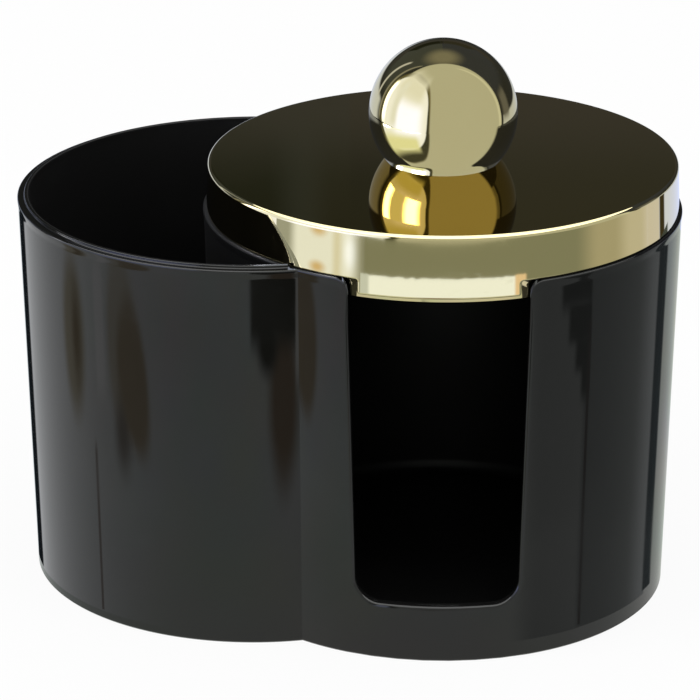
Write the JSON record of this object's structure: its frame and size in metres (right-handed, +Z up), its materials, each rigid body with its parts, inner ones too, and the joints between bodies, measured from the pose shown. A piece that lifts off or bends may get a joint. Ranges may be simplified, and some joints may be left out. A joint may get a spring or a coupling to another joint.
{
  "type": "bathroom storage container",
  "caption": "Gloss black bathroom container: an open round cup overlapping a round cup that has a front window and a gold lift-off lid with a ball knob.",
  "frame": {"origin": "midway between the axes of the two cups, on the surface that the container stands on", "axes": "+X runs from the open cup to the lidded cup, +Z is up, and the window is on the -Y side, turned 10.8 degrees towards +X"},
  "size_m": [0.1263, 0.09, 0.1066],
  "materials": {
    "black_gloss": "polished black moulding, mirror-like gloss",
    "gold_plate": "mirror pale gold plating over a plastic moulding",
    "insert_brass": "turned, knurled outside",
    "zinc_steel": "bright zinc plated"
  },
  "bodies": {
    "container": {"container_body": "black_gloss"},
    "lid": {"lid_cap": "gold_plate", "knob_ball": "gold_plate", "knob_insert": "insert_brass", "screw_washer": "zinc_steel", "knob_screw": "zinc_steel"}
  },
  "joints": [
    {"name": "lid_lift", "type": "slide", "parent": "container", "child": "lid", "axis": [0, 0, 1], "range_m": [0, 0.09]}
  ]
}
